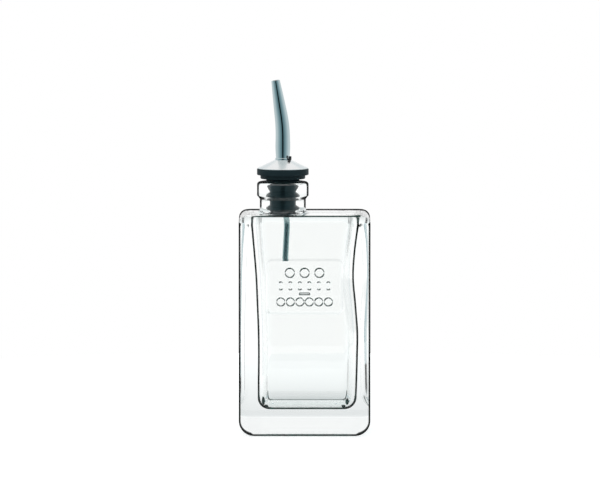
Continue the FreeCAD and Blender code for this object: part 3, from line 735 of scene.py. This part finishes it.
def stopper_rows():
    """Loops of the outside and of the channel. The channel's middle moves over to the neck's at the
    chamber."""
    outside = stopper_outside()
    inside = rounded([[3.05, 121.0], [3.05, CHAMBER_FLOOR], [3.2, CHAMBER_FLOOR], [5.0, CHAMBER_FLOOR],
                      [5.0, 148.0], [4.0, 148.0], [4.0, 151.0]], 0.2) * MM
    share = np.clip((inside[:, 1] - SHIFT_START) / SHIFT_HEIGHT, 0, 1)
    channel = circle_rows(CHANNEL_X * (1 - share) + NECK_X * share, inside[:, 0], inside[:, 1])
    shell = circle_rows(NECK_X, outside[:, 0], outside[:, 1])[::-1]
    shell[0, 0] = CHANNEL_X
    return np.vstack([shell, channel[::-1]])


stopper = skin("stopper_rubber", loops(TURN, stopper_rows()), ring=True)
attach(stopper, "root")
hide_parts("stopper")

# %% [markdown]
# ## Cone
# A pressed and polished cone covers the flange. It is the same all round, so a profile of six points,
# softened at the corners and carried round the neck's middle, gives all of it. Blender's own Cone has only
# sharp edges.

# %% Cone
CONE_HOLE = 4.0
CONE_R = 14.25
CONE_FOOT = 151.25
CONE_TOP = 156.4
cone_corners = [[CONE_HOLE, CONE_FOOT], [CONE_R, CONE_FOOT], [CONE_R, CONE_FOOT + 0.55],
                [CONE_HOLE + 0.7, CONE_TOP], [CONE_HOLE, CONE_TOP], [CONE_HOLE, CONE_FOOT]]
cone_profile = rounded(cone_corners, 0.25) * MM
cone_rows = circle_rows(NECK_X, cone_profile[:, 0], cone_profile[:, 1])
cone = skin("cone_steel", loops(TURN, cone_rows), ring=True)
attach(cone, "root")
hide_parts("spout_cone")

# %% [markdown]
# ## Tubes
# The spout and the vent tube are drawn tubes. A curve with a round bevel would give their outside, but no
# wall, so a circle is carried along the tube's middle line instead, up the outside, over the mouth and down
# the bore.

# %% Tubes along a path
TUBE_WALL = 0.5 * MM


def swept(path, across, radius):
    """Points of circles round a path that lies in the upright plane through x: each circle is spanned by
    the path's sideways direction in that plane and by y."""
    side = np.stack([across[:, 0], 0 * across[:, 0], across[:, 1]], axis=-1)
    grid = path[:, None, :] + radius[:, None, None] * np.cos(TURN)[None, :, None] * side[:, None, :]
    grid[..., 1] += radius[:, None] * np.sin(TURN)[None, :]
    return grid


def tube(s, radius, path_of, lip):
    """Outer circles up the path by its length s, a rounded lip at each end, and inner circles back down."""
    along = np.concatenate([s[:1], s, s[-1:], s[::-1]])
    wide = np.concatenate([radius[:1] - lip, radius, radius[-1:] - lip, radius[::-1] - TUBE_WALL])
    path, across = path_of(along)
    return swept(path, across, wide)


print("wall of the tubes, mm:", round(TUBE_WALL / MM, 2))

# %% [markdown]
# ## Spout
# The steel spout stands in the cone, swells a little, bends slowly to the left and narrows to its mouth. A
# bead runs round its foot, just above the cone. Its middle line is a straight, an arc and a straight, as a
# tube bender makes it, and its radius comes from a table.

# %% Spout
LEAN = math.radians(9.0)
BEND_R = 90 * MM
SPOUT_FOOT = 148.3 * MM
BEND_START = 168.4 * MM
MOUTH = 201.7 * MM
STRAIGHT = (MOUTH - BEND_START - BEND_R * math.sin(LEAN)) / math.cos(LEAN)
SPOUT_LENGTH = (BEND_START - SPOUT_FOOT) + BEND_R * LEAN + STRAIGHT
SPOUT_R = np.array([
    # length from the foot, radius
    [0.0, 3.9], [8.1, 3.9], [15.5, 4.25], [20.1, 4.15],
    [27.2, 3.98], [34.2, 3.72], [44.0, 3.12], [54.0, 2.4],
]) * MM
SPOUT_LIP = 0.1 * MM
BEAD_R = 4.35 * MM
BEAD_START = 8.05 * MM
BEAD_END = 9.0 * MM


def spout_path(s):
    """Middle line by length: up to the bend, round an arc to the left, then straight on at the lean."""
    start = BEND_START - SPOUT_FOOT
    turn = np.clip((s - start) / BEND_R, 0, LEAN)
    after = np.maximum(s - start - BEND_R * LEAN, 0)
    x = NECK_X - BEND_R * (1 - np.cos(turn)) - after * math.sin(LEAN)
    z = SPOUT_FOOT + np.minimum(s, start) + BEND_R * np.sin(turn) + after * math.cos(LEAN)
    return np.stack([x, 0 * x, z], axis=-1), np.stack([np.cos(turn), np.sin(turn)], axis=-1)


def spout_grid():
    """Circles along the whole spout, close together at the bead, where the radius is at least the
    bead's."""
    even = np.linspace(0.2 * MM, SPOUT_LENGTH - 0.1 * MM, 90)
    at_bead = np.array([8.0, 8.12, 8.2, 8.9, 8.98, 9.1]) * MM
    s = np.sort(np.concatenate([even, at_bead, [SPOUT_LENGTH]]))
    radius = follow(SPOUT_R, s)[:, 0]
    on_bead = (s > BEAD_START) & (s < BEAD_END)
    radius = np.where(on_bead, np.maximum(radius, BEAD_R), radius)
    return tube(s, radius, spout_path, SPOUT_LIP)


spout = skin("spout_steel", spout_grid(), ring=True)
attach(spout, "root")
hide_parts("spout")

# %% [markdown]
# ## Vent tube
# Air has to get into the bottle while it pours, so a thin steel tube hangs from the stem. It is straight
# and leans a little, and the same sweep makes it.

# %% Vent tube
TUBE_LEAN = math.radians(2.9)
TUBE_FOOT = 99.0 * MM
TUBE_TOP = 140.4 * MM
TUBE_X = -11.03 * MM
TUBE_R = 1.7 * MM
TUBE_LIP = 0.08 * MM


def tube_path(s):
    """Middle line by length: straight up at the lean."""
    x = TUBE_X + s * math.sin(TUBE_LEAN)
    z = TUBE_FOOT + s * math.cos(TUBE_LEAN)
    across = np.stack([math.cos(TUBE_LEAN) + 0 * x, -math.sin(TUBE_LEAN) + 0 * x], axis=-1)
    return np.stack([x, 0 * x, z], axis=-1), across


s = np.linspace(0.1 * MM, (TUBE_TOP - TUBE_FOOT) / math.cos(TUBE_LEAN) - 0.2 * MM, 40)
vent = skin("vent_tube_steel", tube(s, TUBE_R + 0 * s, tube_path, TUBE_LIP), ring=True)
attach(vent, "root")
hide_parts("vent_tube")

# %% [markdown]
# ## Vent nub
# A small black nub beside the spout's foot lets the air in. It is a pin with a head, so it is turned like
# the cone, but round its own middle, and it is solid, so both its ends are closed by a pole.

# %% Vent nub
NUB_X = -8.34 * MM
NUB_Y = -3.41 * MM
nub_corners = [[0.3, 151.3], [0.5, 151.3], [0.5, 156.3], [0.9, 156.6], [0.9, 158.6], [0.2, 158.6]]
nub_profile = rounded(nub_corners, 0.3) * MM
nub_rows = circle_rows(NUB_X, nub_profile[:, 0], nub_profile[:, 1])
nub_rows[:, 1] = NUB_Y
nub = skin("vent_nub_plastic", loops(TURN[::4], nub_rows), start="pole", end="pole")
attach(nub, "root")
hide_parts("vent_nub")

# %% [markdown]
# ## Building shaders
# A material is a net of nodes. Four helpers keep the nets short to write: one adds a node and fills or
# links its inputs, one does sums, one turns a range of a value into a smooth step, and one mixes two
# colours.

# %% Helpers for nodes
def add_node(tree, kind, inputs, **settings):
    """New shader node. Settings are its own properties, and each input gets a number, a colour or another
    node's output to be linked."""
    node = tree.nodes.new("ShaderNode" + kind)
    for name, value in settings.items():
        setattr(node, name, value)
    for name, value in inputs.items():
        if isinstance(value, bpy.types.NodeSocket):
            tree.links.new(value, node.inputs[name])
        else:
            node.inputs[name].default_value = value
    return node


def calculate(tree, operation, *values, clamp=False):
    """Output of a Math node that does one operation on numbers or outputs."""
    node = add_node(tree, "Math", dict(enumerate(values)), operation=operation, use_clamp=clamp)
    return node.outputs[0]


def smooth_range(tree, value, start, stop, at_start, at_stop):
    """Output that goes with an S-shaped step from one value to another, as the input goes from start to
    stop."""
    names = ("Value", "From Min", "From Max", "To Min", "To Max")
    inputs = dict(zip(names, (value, start, stop, at_start, at_stop)))
    return add_node(tree, "MapRange", inputs, interpolation_type="SMOOTHSTEP").outputs["Result"]


def mix_colours(tree, share, usual, other):
    """Output that goes from one colour to another with the share."""
    inputs = {"Factor": share, "A": usual, "B": other}
    return add_node(tree, "Mix", inputs, data_type="RGBA").outputs["Result"]


print("helpers for nodes: add_node, calculate, smooth_range, mix_colours")

# %% [markdown]
# ## Fine unevenness
# No real finish is quite even: blown glass has faint waves, drawn steel has brush lines, and rubber is
# softly mottled. All of them can come from one noise, stretched and scaled differently, so it is a group
# with those two as its inputs. It reads Object coordinates, so that the pattern stays on the piece.

# %% Shared group: fine unevenness
def group_unevenness():
    """Value near 0 to 1 that changes over the surface, from noise on Object coordinates times Stretch."""
    tree = bpy.data.node_groups.new("fine_unevenness", "ShaderNodeTree")
    sockets = (
        ("Scale", "NodeSocketFloat", 200.0),
        ("Detail", "NodeSocketFloat", 3.0),
        ("Stretch", "NodeSocketVector", (1.0, 1.0, 1.0)),
    )
    for name, kind, value in sockets:
        item = tree.interface.new_socket(name=name, in_out="INPUT", socket_type=kind)
        item.default_value = value
    tree.interface.new_socket(name="Value", in_out="OUTPUT", socket_type="NodeSocketFloat")
    given = tree.nodes.new("NodeGroupInput").outputs
    where = add_node(tree, "TexCoord", {}).outputs["Object"]
    stretched = add_node(tree, "VectorMath", {0: where, 1: given["Stretch"]}, operation="MULTIPLY")
    inputs = {"Vector": stretched.outputs[0], "Scale": given["Scale"], "Detail": given["Detail"]}
    noise = add_node(tree, "TexNoise", inputs)
    tree.links.new(noise.outputs["Fac"], tree.nodes.new("NodeGroupOutput").inputs["Value"])
    return tree


UNEVEN = group_unevenness()
print("group:", UNEVEN.name)

# %% [markdown]
# ## One recipe for all finishes
# Every finish here is a Principled shader whose colour and roughness drift a little with the unevenness.
# The recipe takes the two ends of each drift, so that a finish is described in one line, as a maker would
# describe it.

# %% Finish
def finish(name, colours, roughness, scale, stretch=(1, 1, 1), bump=0.0, depth=0.0001, **sockets):
    """Material whose colour and roughness follow the unevenness, with a bump of the same pattern. Further
    sockets of the Principled shader are given by name. Returns the material and its shader."""
    material = bpy.data.materials.new(name)
    material.use_nodes = True
    tree = material.node_tree
    shader = tree.nodes["Principled BSDF"]
    for socket, value in sockets.items():
        shader.inputs[socket.replace("_", " ")].default_value = value
    drift = add_node(tree, "Group", {"Scale": scale, "Stretch": stretch}, node_tree=UNEVEN).outputs["Value"]
    colour = mix_colours(tree, drift, (*colours[0], 1), (*colours[1], 1))
    tree.links.new(colour, shader.inputs["Base Color"])
    spread = add_node(tree, "MapRange", {"Value": drift, "To Min": roughness[0], "To Max": roughness[1]})
    tree.links.new(spread.outputs["Result"], shader.inputs["Roughness"])
    if bump:
        raised = add_node(tree, "Bump", {"Strength": bump, "Distance": depth, "Height": drift})
        tree.links.new(raised.outputs["Normal"], shader.inputs["Normal"])
    print("material", name)
    return material, shader


# %% [markdown]
# ## Glass
# Clear glass is a Principled shader with full transmission. Three things are added to it. Where the values
# of the painted lines on the skin ask for it, a dark shader takes over near grazing view, which paints the
# dark lines on. Each value counts only up to the crossing at which that face is first met, so that no line
# shows twice. A ray that has crossed many faces goes straight on, since it would end in black otherwise. And
# for shadows the glass is only a faint tint, as it lets nearly all light by.

# %% Glass
GLASS_IOR = 1.5
# colour and strength of the painted dark lines on the glass
PAINTED_LINE_COLOUR = (0.01, 0.035, 0.03, 1)
PAINTED_LINE_DARKEST = 0.97
EDGE_START = -0.07
EDGE_FULL = 0.05
LAST_CROSSING = 5.5
LATE_TINT = (0.985, 0.992, 0.99, 1)
SHADOW_TINT = (0.93, 0.96, 0.95, 1)

glass, glass_shader = finish("clear_glass", ((0.985, 0.995, 0.99), (0.975, 0.99, 0.984)), (0.0, 0.01), 60.0,
                             bump=0.05, depth=0.0002, Transmission_Weight=1.0, IOR=GLASS_IOR)
tree = glass.node_tree
light_path = add_node(tree, "LightPath", {})
crossings = light_path.outputs["Ray Depth"]


def painted_grazing_lines():
    """How dark the painted line is: the skin's painted-line value less the cosine of the view angle, turned
    into a smooth step. The outer value counts before the first crossing, the near one up to the second, and
    the far one at the third."""
    facing = add_node(tree, "LayerWeight", {"Blend": 0.5}).outputs["Facing"]
    cosine = calculate(tree, "SUBTRACT", 1.0, facing)
    kept = add_node(tree, "Attribute", {}, attribute_name="edge").outputs["Vector"]
    outer, near, far = add_node(tree, "SeparateXYZ", {0: kept}).outputs
    outer = calculate(tree, "MULTIPLY", outer, calculate(tree, "LESS_THAN", crossings, 0.5))
    near = calculate(tree, "MULTIPLY", near, calculate(tree, "LESS_THAN", crossings, 1.5))
    far = calculate(tree, "MULTIPLY", far, calculate(tree, "COMPARE", crossings, 2.0, 0.5))
    value = calculate(tree, "MAXIMUM", calculate(tree, "MAXIMUM", outer, near), far)
    beyond = calculate(tree, "SUBTRACT", value, cosine)
    dark = smooth_range(tree, beyond, EDGE_START, EDGE_FULL, 0.0, PAINTED_LINE_DARKEST)
    return calculate(tree, "MULTIPLY", dark, calculate(tree, "GREATER_THAN", value, 0.001))


def passing(colour):
    """Output of a Transparent shader, which lets light straight through with a tint."""
    return add_node(tree, "BsdfTransparent", {"Color": colour}).outputs["BSDF"]


def instead(share, usual, other):
    """Output of a Mix Shader that shows the other shader by the share given."""
    return add_node(tree, "MixShader", {0: share, 1: usual, 2: other}).outputs["Shader"]


# the dark Transparent shader paints the dark lines where the skin's values ask for it
surface = instead(painted_grazing_lines(), glass_shader.outputs["BSDF"], passing(PAINTED_LINE_COLOUR))
surface = instead(calculate(tree, "GREATER_THAN", crossings, LAST_CROSSING), surface, passing(LATE_TINT))
surface = instead(light_path.outputs["Is Shadow Ray"], surface, passing(SHADOW_TINT))
tree.links.new(surface, tree.nodes["Material Output"].inputs["Surface"])
bottle.data.materials.append(glass)
print("nodes in the glass:", len(tree.nodes))

# %% [markdown]
# ## Rubber, steel and plastic
# The rubber is nearly black with a dull sheen. The cone is polished, with a slight blur. The spout and the
# vent tube are drawn, so their unevenness is stretched into lines along them, which costs far less than
# modelled brush lines. The vent tube is darker, and the nub is plain matt plastic.

# %% Rubber, steel and plastic
ALONG_SPOUT = (1, 1, 0.08)
ALONG_TUBE = (1, 1, 0.1)
rubber, _ = finish("black_rubber", ((0.010, 0.020, 0.024), (0.016, 0.031, 0.036)), (0.40, 0.50), 900.0,
                   bump=0.02, depth=0.00003, IOR=1.16)
stopper.data.materials.append(rubber)
polished, _ = finish("polished_steel", ((0.80, 0.81, 0.81), (0.86, 0.87, 0.87)), (0.20, 0.28), 300.0,
                     Metallic=1.0)
cone.data.materials.append(polished)
satin, _ = finish("satin_steel", ((0.56, 0.63, 0.64), (0.63, 0.70, 0.71)), (0.05, 0.10), 500.0,
                  stretch=ALONG_SPOUT, Metallic=1.0)
spout.data.materials.append(satin)
tube_steel, _ = finish("tube_steel", ((0.16, 0.26, 0.27), (0.42, 0.55, 0.55)), (0.15, 0.25), 700.0,
                       stretch=ALONG_TUBE, Metallic=1.0)
vent.data.materials.append(tube_steel)
plastic, _ = finish("black_plastic", ((0.012, 0.013, 0.014), (0.02, 0.021, 0.022)), (0.35, 0.5), 800.0)
nub.data.materials.append(plastic)

# %% [markdown]
# ## Floor
# The bottle stands on a pale table, of which only the shadow under it should show. A large white plane
# would fill the glass with one flat tone, so this one is a disc whose glow grows outwards: the weaker glow
# near the bottle is painted shade round it. Seen straight or through the glass it glows. In mirror images
# its colour darkens with distance, a painted shade, so that its rim doesn't show as a step in the lower
# glass.

# %% Floor
FLOOR_R = 0.45
FLOOR_Z = -0.0002
FLOOR_COLOUR = (0.8, 0.8, 0.8, 1)
CAMERA_GLOW = 0.3
# painted shade: the glow is weaker near the bottle, and in mirror images the colour darkens with distance
# distances in metres between which a level changes, and the level at each of them
GLOW_WITH_PAINTED_SHADE = (0.05, 0.46, 0.20, 0.47)
MIRROR_SHADE_FADE = (0.06, 0.40, 0.2, 1.0)

disc = np.stack([FLOOR_R * np.cos(TURN), FLOOR_R * np.sin(TURN), 0 * TURN + FLOOR_Z], axis=-1)
floor_mesh = bpy.data.meshes.new("floor")
floor_mesh.from_pydata(disc.tolist(), [], [list(range(len(disc)))])
floor = bpy.data.objects.new("floor", floor_mesh)
bpy.context.scene.collection.objects.link(floor)

ground = bpy.data.materials.new("pale_floor")
ground.use_nodes = True
tree = ground.node_tree
shader = tree.nodes["Principled BSDF"]
shader.inputs["Roughness"].default_value = 1.0
shader.inputs["Specular IOR Level"].default_value = 0.0
shader.inputs["Emission Color"].default_value = (1, 1, 1, 1)
light_path = add_node(tree, "LightPath", {})
by_camera = light_path.outputs["Is Camera Ray"]
seen = calculate(tree, "MAXIMUM", by_camera, light_path.outputs["Is Transmission Ray"])
mirrored = calculate(tree, "SUBTRACT", light_path.outputs["Is Glossy Ray"], seen, clamp=True)
place = add_node(tree, "TexCoord", {}).outputs["Object"]
distance = add_node(tree, "VectorMath", {0: place}, operation="LENGTH").outputs["Value"]
level = calculate(tree, "MULTIPLY_ADD", by_camera, CAMERA_GLOW, smooth_range(tree, distance, *GLOW_WITH_PAINTED_SHADE))
tree.links.new(calculate(tree, "MULTIPLY", seen, level), shader.inputs["Emission Strength"])
mirror_painted_shade = calculate(tree, "MULTIPLY", smooth_range(tree, distance, *MIRROR_SHADE_FADE), mirrored)
paint = mix_colours(tree, mirror_painted_shade, FLOOR_COLOUR, (0.0, 0.0, 0.0, 1))
tree.links.new(paint, shader.inputs["Base Color"])
floor_mesh.materials.append(ground)
print("floor, m across:", 2 * FLOOR_R)

# %% [markdown]
# ## Surroundings
# Clear glass and steel have no look of their own: they show what stands round them. A studio would put up a
# white wall, black boards and a white ceiling, as real objects or as lamps. Here the world does it, because
# it can show one thing straight, another through the glass and a third in mirror images, and nothing gets
# into the view. Seen straight it is white. Through glass it is white at the back and the sides, grey
# towards the front, and nearly black in a slit straight in front, where only rays arrive that were turned
# back. Mirrored, it has a dark strip straight in front, which draws the dark line on the spout, then grows
# lighter to the sides, and is white above and at the back. Its dark parts are tinted green-blue, as in
# thick glass.

# %% Helpers for the surroundings
world = bpy.data.worlds.new("studio")
bpy.context.scene.world = world
world.use_nodes = True
tree = world.node_tree
tree.nodes.clear()
x, y, z = add_node(tree, "SeparateXYZ", {0: add_node(tree, "TexCoord", {}).outputs["Generated"]}).outputs
azimuth = calculate(tree, "ARCTAN2", x, calculate(tree, "MULTIPLY", y, -1.0))
flat = calculate(tree, "SQRT", calculate(tree, "ADD", calculate(tree, "MULTIPLY", x, x),
                                         calculate(tree, "MULTIPLY", y, y)))
elevation = calculate(tree, "ARCTAN2", z, flat)
aside = calculate(tree, "ABSOLUTE", azimuth)


def by_degrees(angle, start, stop, at_start, at_stop):
    """Level that goes smoothly from one to another between two angles, which are given in degrees."""
    return smooth_range(tree, angle, math.radians(start), math.radians(stop), at_start, at_stop)


print("world:", world.name)

# %% [markdown]
# The first level is for rays that go through the glass, and the second for mirror images. Both depend on
# how far to the side a ray goes, counted from the front, and on how steeply it goes up. Cycles flags a ray
# through glass as glossy too, so the mirror's level is given only to rays that are glossy and not through
# glass.

# %% What glass and steel see
ROOM_FRONT = 0.13
ROOM_RISE = 0.42   # for each radian to the side
ROOM_MOST = 0.86

slit = by_degrees(aside, 8, 15, 0.02, 0.22)
white_sides = by_degrees(aside, 60, 90, 0.0, 0.91)
dim_ceiling = by_degrees(elevation, 50, 70, 1.0, 0.85)
dim_above_floor = by_degrees(elevation, -4.6, -2.0, 1.0, 0.87)
through = calculate(tree, "ADD", slit, white_sides)
through = calculate(tree, "MULTIPLY", through, dim_ceiling)
through = calculate(tree, "MULTIPLY", through, dim_above_floor)

bright_above = by_degrees(elevation, 15, 45, 0.0, 1.0)
room = calculate(tree, "ADD", calculate(tree, "MULTIPLY", aside, ROOM_RISE), ROOM_FRONT)
room = calculate(tree, "MAXIMUM", calculate(tree, "MINIMUM", room, ROOM_MOST), bright_above)
dark_strip = calculate(tree, "MAXIMUM", by_degrees(aside, 6, 14, 0.0, 1.0), bright_above)
white_back = by_degrees(aside, 150, 172, 0.0, 1.05)
mirror = calculate(tree, "MAXIMUM", calculate(tree, "MULTIPLY", room, dark_strip), white_back)
print("levels: through glass and in mirror images")

# %% [markdown]
# The levels are put together by kind of ray, and matt surfaces get a share of plain light from all round.
# Where the level is low, the colour leans to green-blue.

# %% World
MATT_LIGHT = 0.62
MATT_WHITE = 0.3
DARK_TINT = (0.35, 0.85, 1.0, 1)
light_path = add_node(tree, "LightPath", {})
passed = light_path.outputs["Is Transmission Ray"]
matt = light_path.outputs["Is Diffuse Ray"]
only_glossy = calculate(tree, "SUBTRACT", light_path.outputs["Is Glossy Ray"], passed)
level = calculate(tree, "ADD", calculate(tree, "MULTIPLY", passed, through),
                  calculate(tree, "MULTIPLY", only_glossy, mirror))
level = calculate(tree, "MAXIMUM", level, 0.0)
level = calculate(tree, "MAXIMUM", level, light_path.outputs["Is Camera Ray"])
level = calculate(tree, "ADD", level, calculate(tree, "MULTIPLY", matt, MATT_LIGHT))
whiteness = calculate(tree, "MULTIPLY_ADD", matt, MATT_WHITE, level)
hue = mix_colours(tree, whiteness, DARK_TINT, (1.0, 1.0, 1.0, 1))
sky = add_node(tree, "Background", {"Strength": level, "Color": hue})
add_node(tree, "OutputWorld", {"Surface": sky.outputs[0]})
print("nodes in the world:", len(tree.nodes))

# %% [markdown]
# ## Lamps
# Two soft lamps stand in front, left and right. They give the rubber its form and the floor its shadow.
# Glass and steel don't see them, because a lamp's square image would show as a hard patch.

# %% Lamps
LAMP_TARGET = Vector((0, 0, 0.1))
LAMPS = (
    # name, place, width in metres, watts
    ("key", (-0.9, -1.1, 1.3), 0.9, 9.0),
    ("fill", (1.2, -0.7, 0.8), 1.0, 4.0),
)
for name, place, width, watts in LAMPS:
    lamp = bpy.data.lights.new(name, "AREA")
    lamp.size = width
    lamp.energy = watts
    holder = bpy.data.objects.new(name, lamp)
    bpy.context.scene.collection.objects.link(holder)
    holder.location = place
    holder.visible_glossy = False
    holder.visible_transmission = False
    holder.rotation_euler = (LAMP_TARGET - Vector(place)).to_track_quat("-Z", "Y").to_euler()
    print("lamp", name, "watts:", watts)
